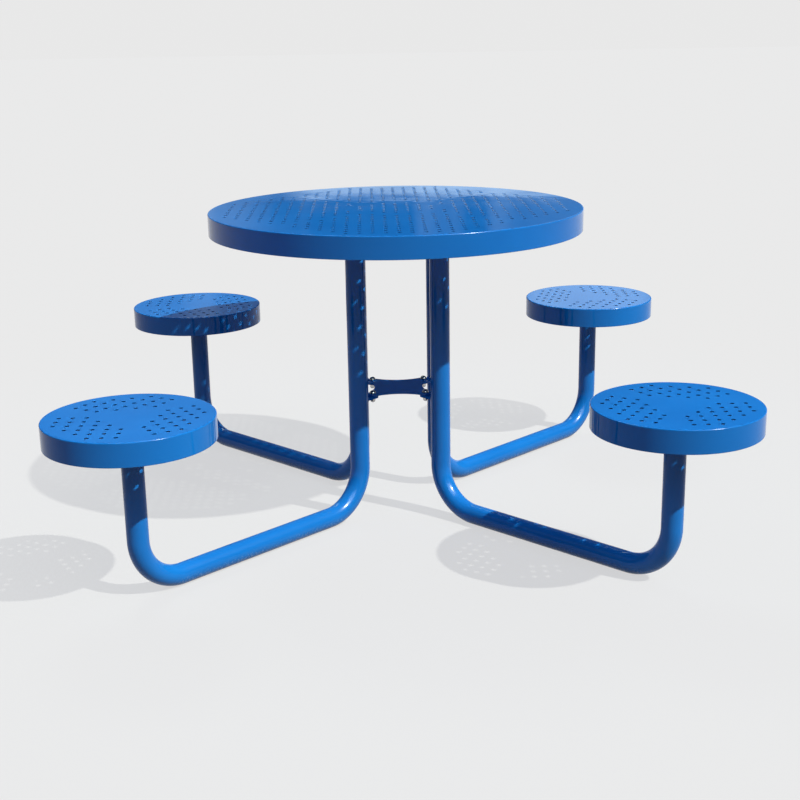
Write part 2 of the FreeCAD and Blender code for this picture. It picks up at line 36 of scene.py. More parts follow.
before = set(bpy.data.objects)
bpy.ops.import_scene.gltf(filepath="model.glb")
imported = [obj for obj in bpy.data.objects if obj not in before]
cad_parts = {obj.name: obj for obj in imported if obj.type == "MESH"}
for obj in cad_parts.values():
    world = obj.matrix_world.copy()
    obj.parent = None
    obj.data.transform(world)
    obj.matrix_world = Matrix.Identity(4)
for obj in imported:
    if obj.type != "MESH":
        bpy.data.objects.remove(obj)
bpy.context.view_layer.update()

# Sheet metal
SHEET = 0.003
RIM_WALL = 0.003
EDGE_ROUND = 0.0025
LIP_ROUND = 0.001
WELD_COVE = 0.004
MARGIN = 0.0015  # flat ring between a rounding and the triangles of a flat face
TOP_RADIUS = 0.457
SEAT_RADIUS = 0.18296  # 0.04 mm short of the real rim, to stay inside the facets of the solids
SEAT_CIRCLE = 0.815

# Holes: sizes, and counts of pitches or holes in their patterns
HOLE_RADIUS = 0.00475
HOLE_EASE = 0.0005
PITCH = 0.029
TOP_HALF_COUNT = 14
TOP_CORNER_COUNT = 18
TOP_CENTRE_COUNT = 3
SEAT_GROUPS = (0.0, 120.0, 240.0)
SEAT_GROUP_RADIUS = 0.103
SEAT_GROUP_COUNT = 6
SEAT_GROUP_HALF_WIDTH = 2

# Legs, with the angle of each
LEGS = {"front_left": -135.0, "front_right": -45.0, "rear_right": 45.0, "rear_left": 135.0}
TUBE_RADIUS = 0.02415
POST_RADIUS = 0.143
BEND_RADIUS = 0.110
LEG_PLATE_LENGTH = 0.130
LEG_PLATE_WIDTH = 0.050
LEG_PLATE_CORNER = 0.010
LEG_BOLT_OFFSET = 0.045
LEG_BOLT_HOLE = 0.0055
FLANGE_RADIUS = 0.060
SEAT_BOLT_RADIUS = 0.042
SEAT_BOLT_HOLE = 0.0045

# Centre plate and ears, and the rounded edges of all plates
CENTRE_BOLT_RADIUS = 0.093
CENTRE_BOLT_HOLE = 0.0045
LOBE_RADIUS = 0.014
PLATE_WAIST = 0.0605
PLATE_ROUND = 0.0008
ROUND_MIDDLE = 0.3  # inset of the middle of a rounded edge, as a share of its radius

# Channels under the top and spiders under the seats
RIB_ANGLES = (45.0, 135.0, 225.0, 315.0)
RIB_HALF = 0.015
RIB_DEPTH = 0.030
RIB_STITCHES = range(2, 11, 2)  # in diagonal pitches from the axis
ARM_ANGLES = (60.0, 180.0, 300.0)
ARM_HALF = 0.015
ARM_DEPTH = 0.025
ARM_STITCH_RADIUS = 0.125

# Weld beads: lengths, then shares of the leg of a bead
BEAD_LEG = 0.0042
BEAD_RIPPLE = 0.0024
BEAD_STEP = 0.0006
STITCH = 0.022
BEAD_BULGE = 0.18
BEAD_DIP = 0.1
BEAD_END = 0.3
BEAD_ROOT = 0.1
BEAD_TOE = 0.03
BEAD_PARTS = (0.25, 0.5, 0.75)
EAR_WELD_STOP = 3.0  # degrees left free at each end of the beads of an ear

# Fasteners
HexBolt = namedtuple("HexBolt", "thread flats head washer")
PLATED_BOLTS = {"top": HexBolt(thread=0.010, flats=0.016, head=0.0064, washer=0.020),
                "seat": HexBolt(thread=0.008, flats=0.013, head=0.0053, washer=0.016)}
THREAD_CHAMFER = 0.001
WASHER_CLEARANCE = 0.0005
WASHER_EASE = 0.0002
HEX_TURNED = 0.475  # radius of the turned end face, as a share of the flats
HEX_CHAMFER = 30.0
CENTRE_THREAD_RADIUS = 0.004
CENTRE_HEAD_RADIUS = 0.008
CENTRE_HEAD_EASE = 0.0003
CENTRE_WASHER_RADII = (0.0085, 0.0045)
DOME_NUT_FLATS = 0.013
DOME_NUT_HEX = 0.0065
DOME_NUT_NECK = 0.0061
DOME_END = 88  # a dome stops short of its pole, where a small face closes it

# Facets: sides of round forms, steps of arcs, and angles between the rings of bends and domes
TOP_SIDES = 288
TOP_HOLE_SIDES = 16
SEAT_SIDES = 192
SEAT_HOLE_SIDES = 20
EDGE_STEPS = 7
LIP_STEPS = 4
HOLE_EASE_STEPS = 2
TUBE_SIDES = 56
BEND_STEP = 3
FLANGE_SIDES = 96
BOLT_HOLE_SIDES = 24
CORNER_STEPS = 8
EAR_STEPS = 24
EAR_COPE_STEPS = 12
LOBE_STEPS = 28
HEX_SIDES = 48
HEAD_SIDES = 40
SHANK_SIDES = 24
DOME_STEPS = 12
DOME_NUT_STEP = 8
BEVEL_SEGMENTS = 2
SMOOTH_ANGLE = math.radians(35)
MERGE_DISTANCE = 1e-7

# Levels taken from the solids
TOP_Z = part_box("table_top_sheet")[1].z
TOP_RIM_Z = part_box("table_top_rim")[0].z
SEAT_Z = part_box("seat_sheet_front_left")[1].z
SEAT_RIM_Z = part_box("seat_rim_front_left")[0].z
LEG_TOP_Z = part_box("leg_tube_front_left")[1].z
FLANGE_LOW_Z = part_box("leg_seat_flange_front_left")[0].z

# Finishes: their names
PAINT = "blue_powder_coat"
TUBE_PAINT = "blue_powder_coat_on_tube"
STAINLESS = "stainless_steel"
ZINC = "zinc_plated_steel"

# Paint: its noises, in features per metre, and its layers from the colour up to the haze
Noise = namedtuple("Noise", "scale detail roughness", defaults=(2.0, 0.5))
RECESS = "recess"  # attribute that is 1 in the holes
NOISE_MIDDLE = (0.3, 0.7)
PAINT_DEEP = (0.0050, 0.165, 0.545)
PAINT_LIGHT = (0.0065, 0.190, 0.605)
TONE = Noise(scale=5.0, detail=3.0)
DUST_COLOUR = (0.42, 0.43, 0.42)
DUST_SLOPES = (0.55, 1.0)
DUST_LEVEL = 0.014
PATCHES = Noise(scale=16.0, detail=6.0, roughness=0.65)
PATCH_NOISE = (0.35, 0.75)
PATCH_LEVELS = (0.25, 1.0)
# Pale blue specks near the ground: grit that dulls the paint, coloured as painted glints
GRIT_AND_SPARKLE_COLOUR = (0.20, 0.38, 0.66)
GRIT_AND_SPARKLE_HEIGHTS = (0.008, 0.028)
GRIT_AND_SPARKLE = Noise(scale=210.0)
GRIT_AND_SPARKLE_NOISE = (0.50, 0.62)
# Painted shade in the holes: their walls turn dark navy
HOLE_SHADE_COLOUR = (0.003, 0.010, 0.048)
HOLE_SHADE_LEVEL = 0.9
GLOSS = Noise(scale=30.0, detail=4.0)
EDGE_STEEP = (0.05, 0.25)
EDGE_FLAT = (0.90, 0.985)
WAVES = Noise(scale=4.0, detail=1.0)
WAVE_DEPTH = 0.010
WAVE_STRENGTH = 0.05
ORANGE_PEEL = Noise(scale=340.0, detail=1.0)
PEEL_DEPTH = 0.0001
PAINT_IOR = 1.5
HAZE_ROUGHNESS = 0.30

# Bare metal
MOTTLE = Noise(scale=260.0, detail=5.0, roughness=0.6)
MOTTLE_GLOSS = (1.35, 0.8)
SCRATCHES = Noise(scale=2400.0, detail=3.0)
SCRATCH_DEPTH = 0.00002
SCRATCH_STRENGTH = 0.25

# Floor: what it throws back falls off with the distance from the axis, and what it shows stays level
FLOOR_HALF = 60.0
FLOOR_REACH = (0.8, 2.0)
FLOOR_ALBEDO = (0.17, 0.02)
FLOOR_LIGHT = 1.24
FLOOR_LEVEL = 0.819
FLOOR_ROUGHNESS = 0.9

# Lamps: the key, its highlights alone, and a soft fill from behind
WHITE = (1.0, 1.0, 1.0)
Lamp = namedtuple("Lamp", "name energy colour angle direction")
KEY = Lamp("key", 4.0, (1.0, 0.99, 0.91), 0.9, (0.5685, -0.372, 0.7337))
GLINT = Lamp("glint", 11.0, (1.0, 0.99, 0.95), 2.4, KEY.direction)
FILL = Lamp("fill", 0.45, (0.75, 0.88, 0.8), 16.0, (-0.13, 0.63, 0.766))

# Surround: pairs of the sine of the height above the horizon and a level. One ramp is the soft light
# on the table. The other is seen and mirrored, with a shaded spot, upright strips and round glows on it.
SOFT_TINT = (0.58, 0.70, 1.0)
SOFT_LIGHT = ((0.18, 0.05), (0.5, 0.45), (0.62, 0.7), (0.8, 0.7), (1.0, 0.0))
SKY_TINT = (0.86, 1.05, 1.09)
TINTED_FROM = 0.05
SURROUND = ((0.0, 0.81), (0.03, 0.81), (0.1, 0.80), (0.1205, 0.79), (0.1230, 0.02), (0.15, 0.012),
            (0.165, 0.012), (0.2, 0.06), (0.35, 0.06), (0.55, 0.23))
STRIPS = Noise(scale=22.0, detail=1.0)  # in strips per radian
STRIP_LEVEL = 0.17
STRIP_TURN = 0.03
STRIP_NOISE = (0.53, 0.73)
STRIP_FOOT = (0.08, 0.10)
STRIP_HEAD = (0.20, 0.26)
# A spot begins at the far angle from its centre and has its full level from the near one on.
Spot = namedtuple("Spot", "centre far near level")
SHADE = Spot((-0.088, 0.990, 0.112), 2.6, 1.3, 0.2)
GLOWS = (Spot((0.161, 0.965, 0.203), 3.8, 2.2, 0.75), Spot((0.33, -0.57, 0.75), 28.0, 8.0, 8.0),
         Spot((-0.169, 0.958, 0.230), 9.0, 4.0, 0.13), Spot((-0.125, 0.984, 0.131), 3.0, 1.2, 0.13),
         Spot((0.150, 0.980, 0.135), 3.0, 1.2, 0.08))

# Camera, fitted to the photograph
CAMERA_AZIMUTH = math.radians(-1.14)
CAMERA_ELEVATION = math.radians(15.877)
CAMERA_ROLL = math.radians(-0.966)
CAMERA_DISTANCE = 3.348
CAMERA_TARGET = Vector((0.0032, 0.0, 0.2714))
CAMERA_LENS = 59.05
CAMERA_SENSOR = 36.0


# Mesh building

def turn(angle):
    """Matrix that turns about the upright axis."""
    return Matrix.Rotation(math.radians(angle), 4, "Z")


def polar(radius, angle):
    """Point on the ground at a radius and an angle."""
    return Vector((radius * math.cos(math.radians(angle)), radius * math.sin(math.radians(angle)), 0.0))


def seat_place(angle):
    """Matrix from a seat whose leg is along +X to the seat of the leg at an angle."""
    return Matrix.Translation(polar(SEAT_CIRCLE, angle)) @ turn(angle)


def loop(radius, count, centre=(0.0, 0.0)):
    """Points of a circle, counter-clockwise."""
    return [Vector((centre[0] + radius * math.cos(2 * math.pi * n / count),
                    centre[1] + radius * math.sin(2 * math.pi * n / count))) for n in range(count)]


def arc(centre, radius, start, end, steps):
    """Points of an arc in a plane, from one angle to another."""
    angles = [math.radians(start + (end - start) * n / steps) for n in range(steps + 1)]
    return [(centre[0] + radius * math.cos(a), centre[1] + radius * math.sin(a)) for a in angles]


def box_levels(node):
    """Lowest and highest level of a node."""
    low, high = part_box(node)
    return low.z, high.z


def in_order(corners):
    """Whether three corners follow each other round their ring: such a triangle lies inside the ring."""
    return sum(corners[n] < corners[(n + 1) % 3] for n in range(3)) == 2


def triangulate(flat, edges):
    """Triangles inside the edges, and for each of their vertices the point that it came from."""
    result = delaunay_2d_cdt(flat, edges, [], 1, MERGE_DISTANCE, True)
    sources = [ids[0] for ids in result[3]]
    return result[2], sources


class Builder:
    """Collects vertices and faces, and makes one closed mesh of them."""

    def __init__(self):
        self.points = []
        self.faces = []
        self.recessed = set()

    def ring(self, points):
        """Add a ring of points and give its vertex numbers."""
        first = len(self.points)
        self.points.extend(Vector(point) for point in points)
        return list(range(first, first + len(points)))

    def band(self, lower, upper):
        """Quads between two closed rings of the same count."""
        count = len(lower)
        for n in range(count):
            m = (n + 1) % count
            self.faces.append((lower[n], lower[m], upper[m], upper[n]))

    def cap(self, ring, upward=True):
        """One face over a ring."""
        self.faces.append(tuple(ring) if upward else tuple(reversed(ring)))

    def holed(self, outer, holes, upward=True):
        """Flat triangles between an outer ring and the rings of its holes."""
        rings = [outer] + holes
        numbers = [number for ring in rings for number in ring]
        owner = [index for index, ring in enumerate(rings) for _ in ring]
        flat = [self.points[number].to_2d() for number in numbers]
        edges = []
        first = 0
        for ring in rings:
            count = len(ring)
            edges += [(first + n, first + (n + 1) % count) for n in range(count)]
            first += count
        triangles, sources = triangulate(flat, edges)
        for triangle in triangles:
            corners = [sources[corner] for corner in triangle]
            owners = {owner[corner] for corner in corners}
            if len(owners) == 1 and (owners != {0} or not in_order(corners)):
                continue
            face = tuple(numbers[corner] for corner in corners)
            self.faces.append(face if upward else tuple(reversed(face)))

    def piece(self, name, material, nodes=(), place=Matrix.Identity(4)):
        """Put the collected mesh in the scene as a piece that rides on the frame and stands for the nodes."""
        mesh = bpy.data.meshes.new(name)
        mesh.from_pydata([place @ point.to_3d() for point in self.points], [], self.faces)
        mesh.validate()
        if self.recessed:
            recess = mesh.attributes.new(RECESS, "FLOAT", "POINT")
            recess.data.foreach_set("value", [float(n in self.recessed) for n in range(len(self.points))])
        mesh.polygons.foreach_set("use_smooth", [True] * len(mesh.polygons))
        mesh.set_sharp_from_angle(angle=SMOOTH_ANGLE)
        mesh.update()
        mesh.materials.append(MATERIALS[material])
        piece = bpy.data.objects.new(name, mesh)
        bpy.context.scene.collection.objects.link(piece)
        piece.modifiers.new("weighted_normals", "WEIGHTED_NORMAL").keep_sharp = True
        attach(piece, "root")
        if nodes:
            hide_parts(*nodes)


def lathe(builder, profile, count, centre, closed=False):
    """Turn a profile of radius and height pairs about an upright axis through the centre."""
    rings = []
    for radius, z in profile:
        rings.append(builder.ring([(centre.x + p.x, centre.y + p.y, centre.z + z)
                                   for p in loop(radius, count)]))
    for lower, upper in zip(rings, rings[1:]):
        builder.band(lower, upper)
    if closed:
        builder.band(rings[-1], rings[0])
    else:
        builder.cap(rings[0], upward=False)
        builder.cap(rings[-1])


# Materials

class Graph:
    """Node tree, with a short call for each kind of node that is used here."""

    def __init__(self, tree):
        self.nodes = tree.nodes
        self.links = tree.links

    def feed(self, socket, value):
        """Give a socket the output of another node, or a constant."""
        if isinstance(value, bpy.types.NodeSocket):
            self.links.new(value, socket)
        else:
            socket.default_value = value

    def source(self, kind, output):
        """Output of a node that takes no input."""
        return self.nodes.new(kind).outputs[output]

    def split(self, vector):
        """The X, Y and Z of a vector."""
        node = self.nodes.new("ShaderNodeSeparateXYZ")
        self.links.new(vector, node.inputs[0])
        return node.outputs

    def noise(self, coords, noise):
        """Noise on object coordinates."""
        node = self.nodes.new("ShaderNodeTexNoise")
        node.inputs["Scale"].default_value = noise.scale
        node.inputs["Detail"].default_value = noise.detail
        node.inputs["Roughness"].default_value = noise.roughness
        self.links.new(coords, node.inputs["Vector"])
        return node.outputs["Fac"]

    def remap(self, value, old, new):
        """Value carried from one range to another."""
        node = self.nodes.new("ShaderNodeMapRange")
        for socket, number in zip(("From Min", "From Max", "To Min", "To Max"), (*old, *new)):
            node.inputs[socket].default_value = number
        self.links.new(value, node.inputs["Value"])
        return node.outputs["Result"]

    def mix(self, factor, first, second):
        """Colour between two colours. The node has its sockets once for each kind of data, so they go by
        number here."""
        node = self.nodes.new("ShaderNodeMix")
        node.data_type = "RGBA"
        self.links.new(factor, node.inputs["Factor"])
        for socket, colour in ((node.inputs[6], first), (node.inputs[7], second)):
            self.feed(socket, colour + (1.0,) if isinstance(colour, tuple) else colour)
        return node.outputs[2]

    def join(self, operation, *values):
        """Values joined one after the other by an operation."""
        result = values[0]
        for value in values[1:]:
            node = self.nodes.new("ShaderNodeMath")
            node.operation = operation
            self.feed(node.inputs[0], result)
            self.feed(node.inputs[1], value)
            result = node.outputs[0]
        return result

    def vector(self, operation, output, sockets):
        """Vector operation on the values for its sockets."""
        node = self.nodes.new("ShaderNodeVectorMath")
        node.operation = operation
        for socket, value in sockets.items():
            self.feed(node.inputs[socket], value)
        return node.outputs[output]

    def bump(self, height, distance, strength, normal=None):
        """Bump of a height in metres, on top of another one if it is given."""
        node = self.nodes.new("ShaderNodeBump")
        node.inputs["Distance"].default_value = distance
        node.inputs["Strength"].default_value = strength
        self.links.new(height, node.inputs["Height"])
        if normal is not None:
            self.links.new(normal, node.inputs["Normal"])
        return node.outputs["Normal"]

    def ramp(self, value, stops):
        """Tinted levels along a value, each stop being its place, its level and its tint."""
        node = self.nodes.new("ShaderNodeValToRGB")
        elements = node.color_ramp.elements
        elements[0].position, elements[1].position = stops[0][0], stops[1][0]
        for place, _, _ in stops[2:]:
            elements.new(place)
        for element, (_, level, tint) in zip(elements, stops):
            element.color = [level * part for part in tint] + [1.0]
        self.links.new(value, node.inputs["Fac"])
        return node.outputs["Color"]

    def spot(self, direction, outside, spot):
        """Value that goes over from a level outside to the level of a spot, between its two angles."""
        towards = self.vector("DOT_PRODUCT", "Value", {0: direction, 1: Vector(spot.centre).normalized()})
        edges = [math.cos(math.radians(angle)) for angle in (spot.far, spot.near)]
        return self.remap(towards, edges, (outside, spot.level))

    def seen(self):
        """1 for what the camera sees, straight or by a mirror or through a hole, and 0 for what lights."""
        path = self.nodes.new("ShaderNodeLightPath").outputs
        mirrored = self.join("MAXIMUM", path["Is Glossy Ray"], path["Is Transmission Ray"])
        return self.join("MAXIMUM", path["Is Camera Ray"], mirrored)


def new_material(name):
    """New material, its graph and its principled shader."""
    material = bpy.data.materials.new(name)
    material.use_nodes = True
    return material, Graph(material.node_tree), material.node_tree.nodes["Principled BSDF"]


def powder_coat(name, gloss, mirror, peel, haze, worn, grit_and_sparkle):
    """Glossy blue powder coat: orange peel, a little waviness of the sheet, dust where it faces up, painted
    shade in the holes, edges rubbed duller, grit near the ground with painted glints on it and a soft haze
    round the highlights."""
    material, graph, shader = new_material(name)
    coords = graph.source("ShaderNodeTexCoord", "Object")
    facing = graph.split(graph.source("ShaderNodeNewGeometry", "Normal"))["Z"]
    height = graph.split(coords)["Z"]

    tone = graph.remap(graph.noise(coords, TONE), NOISE_MIDDLE, (0.0, 1.0))
    colour = graph.mix(tone, PAINT_DEEP, PAINT_LIGHT)
    upward = graph.remap(facing, DUST_SLOPES, (0.0, 1.0))
    patches = graph.remap(graph.noise(coords, PATCHES), PATCH_NOISE, PATCH_LEVELS)
    dust = graph.join("MULTIPLY", upward, patches, DUST_LEVEL)
    colour = graph.mix(dust, colour, DUST_COLOUR)
    # Specks near the ground: grit that dulls the paint, lightened as painted glints
    low = graph.remap(height, GRIT_AND_SPARKLE_HEIGHTS, (grit_and_sparkle, 0.0))
    grains = graph.remap(graph.noise(coords, GRIT_AND_SPARKLE), GRIT_AND_SPARKLE_NOISE, (0.0, 1.0))
    specks = graph.join("MULTIPLY", low, patches, grains)
    colour = graph.mix(specks, colour, GRIT_AND_SPARKLE_COLOUR)
    # Painted shade: the walls of the holes are darkened towards dark navy
    recess = graph.nodes.new("ShaderNodeAttribute")
    recess.attribute_name = RECESS
    hole_shade = graph.join("MULTIPLY", recess.outputs["Fac"], HOLE_SHADE_LEVEL)
    graph.feed(shader.inputs["Base Color"], graph.mix(hole_shade, colour, HOLE_SHADE_COLOUR))

    even = graph.remap(graph.noise(coords, GLOSS), NOISE_MIDDLE, gloss)
    edge = graph.join("MULTIPLY", graph.remap(facing, EDGE_STEEP, (0.0, worn)),
                      graph.remap(facing, EDGE_FLAT, (1.0, 0.0)))
    dull = graph.join("ADD", dust, edge, specks)
    graph.feed(shader.inputs["Roughness"], graph.join("ADD", even, dull))
    waves = graph.bump(graph.noise(coords, WAVES), WAVE_DEPTH, WAVE_STRENGTH)
    skin = graph.bump(graph.noise(coords, ORANGE_PEEL), PEEL_DEPTH, peel, waves)
    graph.feed(shader.inputs["Normal"], skin)
    shader.inputs["IOR"].default_value = PAINT_IOR
    shader.inputs["Specular IOR Level"].default_value = mirror
    shader.inputs["Coat Weight"].default_value = haze
    shader.inputs["Coat Roughness"].default_value = HAZE_ROUGHNESS
    return material


def bright_metal(name, light, dark, rough):
    """Bare or plated metal with fine scratches and uneven gloss."""
    material, graph, shader = new_material(name)
    coords = graph.source("ShaderNodeTexCoord", "Object")
    mottle = graph.remap(graph.noise(coords, MOTTLE), NOISE_MIDDLE, (0.0, 1.0))
    graph.feed(shader.inputs["Base Color"], graph.mix(mottle, dark, light))
    gloss = [rough * share for share in MOTTLE_GLOSS]
    graph.feed(shader.inputs["Roughness"], graph.remap(mottle, (0.0, 1.0), gloss))
    scratches = graph.bump(graph.noise(coords, SCRATCHES), SCRATCH_DEPTH, SCRATCH_STRENGTH)
    graph.feed(shader.inputs["Normal"], scratches)
    shader.inputs["Metallic"].default_value = 1.0
    return material


def floor_material():
    """Plain pale floor: the part of its brightness that is seen or mirrored lights nothing. That part grows
    away from the table, where the floor throws less light up, so that it looks the same all over."""
    material, graph, shader = new_material("pale_floor")
    away = graph.vector("LENGTH", "Value", {0: graph.source("ShaderNodeTexCoord", "Object")})
    albedo = graph.remap(away, FLOOR_REACH, FLOOR_ALBEDO)
    grey = graph.nodes.new("ShaderNodeCombineColor")
    for channel in grey.inputs:
        graph.feed(channel, albedo)
    graph.feed(shader.inputs["Base Color"], grey.outputs["Color"])
    shader.inputs["Roughness"].default_value = FLOOR_ROUGHNESS
    shader.inputs["Specular IOR Level"].default_value = 0.0
    shader.inputs["Emission Color"].default_value = WHITE + (1.0,)
    glow = graph.join("SUBTRACT", FLOOR_LEVEL, graph.join("MULTIPLY", albedo, FLOOR_LIGHT))
    graph.feed(shader.inputs["Emission Strength"], graph.join("MULTIPLY", graph.seen(), glow))
    return material


MATERIALS = {
    PAINT: powder_coat(PAINT, gloss=(0.015, 0.03), mirror=0.13, peel=0.008,
                       haze=0.0, worn=0.17, grit_and_sparkle=0.0),
    TUBE_PAINT: powder_coat(TUBE_PAINT, gloss=(0.08, 0.12), mirror=0.15, peel=0.06,
                            haze=0.14, worn=0.0, grit_and_sparkle=0.9),
    STAINLESS: bright_metal(STAINLESS, light=(0.52, 0.51, 0.50), dark=(0.38, 0.375, 0.37), rough=0.14),
    ZINC: bright_metal(ZINC, light=(0.60, 0.62, 0.64), dark=(0.40, 0.42, 0.45), rough=0.38),
}


# Perforated top and seats

def top_holes():
    """Places of the holes in the top: a square grid in an octagon, blank along the diagonals,
    with a centre group set apart by a blank ring."""
    places = []
    for column in range(-TOP_HALF_COUNT, TOP_HALF_COUNT + 1):
        for row in range(-TOP_HALF_COUNT, TOP_HALF_COUNT + 1):
            across, total = max(abs(column), abs(row)), abs(column) + abs(row)
            centre = across <= TOP_CENTRE_COUNT and total <= TOP_CENTRE_COUNT + 1
            ring = across <= TOP_CENTRE_COUNT + 1 and total <= TOP_CENTRE_COUNT + 2
            outer = total <= TOP_CORNER_COUNT and abs(column) != abs(row) and not ring
            if centre or outer:
                places.append((column * PITCH, row * PITCH))
    return places


def seat_holes():
    """Places of the holes in a seat whose leg is along +X: three groups of a slanted grid."""
    places = []
    step = PITCH / math.sqrt(2)
    for angle in SEAT_GROUPS:
        for row in range(SEAT_GROUP_COUNT):
            for column in range(SEAT_GROUP_COUNT):
                if abs(column - row) <= SEAT_GROUP_HALF_WIDTH:
                    place = Vector((SEAT_GROUP_RADIUS + (row - column) * step,
                                    (column + row - SEAT_GROUP_COUNT + 1) * step, 0))
                    places.append((turn(angle) @ place)[:2])
    return places


def pan(name, radius, top, bottom, holes, sides, hole_sides, nodes, place=Matrix.Identity(4)):
    """Perforated round sheet with a rounded edge, on a rolled rim that is welded inside."""
    under = top - SHEET
    bore = radius - RIM_WALL
    profile = [(radius - EDGE_ROUND - MARGIN, top)]
    profile += arc((radius - EDGE_ROUND, top - EDGE_ROUND), EDGE_ROUND, 90, 0, EDGE_STEPS)
    profile += arc((radius - LIP_ROUND, bottom + LIP_ROUND), LIP_ROUND, 0, -90, LIP_STEPS)
    profile += arc((bore + LIP_ROUND, bottom + LIP_ROUND), LIP_ROUND, -90, -180, LIP_STEPS)
    profile += arc((bore - WELD_COVE, under - WELD_COVE), WELD_COVE, 0, 90, LIP_STEPS)
    profile += [(bore - WELD_COVE - MARGIN, under)]
    builder = Builder()
    rings = [builder.ring([p.to_3d() + Vector((0, 0, z)) for p in loop(r, sides)]) for r, z in profile]
    for upper, lower in zip(rings, rings[1:]):
        builder.band(lower, upper)
    eased = arc((HOLE_RADIUS + HOLE_EASE, top - HOLE_EASE), HOLE_EASE, 90, 180, HOLE_EASE_STEPS)
    walls = eased + [(HOLE_RADIUS, under + HOLE_EASE), (HOLE_RADIUS + HOLE_EASE, under)]
    upper_holes, lower_holes = [], []
    for centre in holes:
        hole = [builder.ring([p.to_3d() + Vector((0, 0, z)) for p in loop(r, hole_sides, centre)])
                for r, z in walls]
        for upper, lower in zip(hole, hole[1:]):
            builder.band(upper, lower)
        # The straight part of the wall, where shade is painted
        builder.recessed.update(hole[-3] + hole[-2])
        upper_holes.append(hole[0])
        lower_holes.append(hole[-1])
    builder.holed(rings[0], upper_holes)
    builder.holed(rings[-1], lower_holes, upward=False)
    builder.piece(name, PAINT, nodes, place)


def make_pans():
    """The top and the four seats."""
    pan("table_top_pan", TOP_RADIUS, TOP_Z, TOP_RIM_Z, top_holes(), TOP_SIDES, TOP_HOLE_SIDES,
        ("table_top_sheet", "table_top_rim"))
    for name, angle in LEGS.items():
        pan(f"seat_pan_{name}", SEAT_RADIUS, SEAT_Z, SEAT_RIM_Z, seat_holes(), SEAT_SIDES, SEAT_HOLE_SIDES,
            (f"seat_sheet_{name}", f"seat_rim_{name}"), seat_place(angle))


# Legs

def leg_path():
    """Centre line of a leg in its own upright plane, with the turn of each point."""
    low = TUBE_RADIUS
    points = [(POST_RADIUS, LEG_TOP_Z, 0.0)]
    for angle in range(0, 91, BEND_STEP):
        a = math.radians(angle)
        points.append((POST_RADIUS + BEND_RADIUS * (1 - math.cos(a)),
                       low + BEND_RADIUS * (1 - math.sin(a)), float(angle)))
    for angle in range(90, 181, BEND_STEP):
        a = math.radians(angle)
        points.append((SEAT_CIRCLE - BEND_RADIUS * (1 + math.cos(a)),
                       low + BEND_RADIUS * (1 - math.sin(a)), float(angle)))
    points.append((SEAT_CIRCLE, FLANGE_LOW_Z, 180.0))
    return points


def make_tube(name, angle):
    """Bent tube of a leg."""
    builder = Builder()
    rings = []
    side = Vector((0, 1, 0))
    for x, z, bend in leg_path():
        a = math.radians(bend)
        inward = Vector((math.cos(a), 0, math.sin(a)))
        middle = Vector((x, 0, z))
        rings.append(builder.ring([middle + TUBE_RADIUS * (p.x * inward + p.y * side)
                                   for p in loop(1.0, TUBE_SIDES)]))
    for upper, lower in zip(rings, rings[1:]):
        builder.band(lower, upper)
    builder.cap(rings[0])
    builder.cap(rings[-1], upward=False)
    builder.piece(f"bent_tube_{name}", TUBE_PAINT, (f"leg_tube_{name}",), turn(angle))


def offset(outline, distance):
    """Counter-clockwise outline moved inwards."""
    moved = []
    for n, point in enumerate(outline):
        along = (outline[(n + 1) % len(outline)] - outline[n - 1]).normalized()
        moved.append(point + Vector((-along.y, along.x)) * distance)
    return moved


def make_plate(name, node, outline, holes, place=Matrix.Identity(4)):
    """Flat plate between the levels of its node, with rounded edges and round holes."""
    bottom, top = box_levels(node)
    middle = ROUND_MIDDLE * PLATE_ROUND
    levels = ((PLATE_ROUND, bottom), (middle, bottom + middle), (0.0, bottom + PLATE_ROUND),
              (0.0, top - PLATE_ROUND), (middle, top - middle), (PLATE_ROUND, top))
    builder = Builder()
    rings = [builder.ring([(p.x, p.y, z) for p in offset(outline, inset)]) for inset, z in levels]
    for lower, upper in zip(rings, rings[1:]):
        builder.band(lower, upper)
    lower_holes, upper_holes = [], []
    for centre, radius in holes:
        low, high = [builder.ring([(p.x, p.y, z) for p in loop(radius, BOLT_HOLE_SIDES, centre)])
                     for z in (bottom, top)]
        builder.band(high, low)
        lower_holes.append(low)
        upper_holes.append(high)
    builder.holed(rings[0], lower_holes, upward=False)
    builder.holed(rings[-1], upper_holes)
    builder.piece(name, PAINT, (node,), place)


def leg_plate_outline():
    """Outline of the plate on a post whose leg is along +X, with round corners."""
    points = []
    for sx, sy, start in ((1, 1, 0), (-1, 1, 90), (-1, -1, 180), (1, -1, 270)):
        middle = (POST_RADIUS + sx * (LEG_PLATE_LENGTH / 2 - LEG_PLATE_CORNER),
                  sy * (LEG_PLATE_WIDTH / 2 - LEG_PLATE_CORNER))
        points += [Vector(p) for p in arc(middle, LEG_PLATE_CORNER, start, start + 90, CORNER_STEPS)]
    return points


def ear_outline():
    """Outline of an ear whose leg is along +X: round about its bolt, coped to the tube."""
    start = math.degrees(math.asin(LOBE_RADIUS / TUBE_RADIUS))
    points = arc((CENTRE_BOLT_RADIUS, 0.0), LOBE_RADIUS, 90, 270, EAR_STEPS)
    points += arc((POST_RADIUS, 0.0), TUBE_RADIUS, 180 + start, 180 - start, EAR_COPE_STEPS)
    return [Vector(p) for p in points]


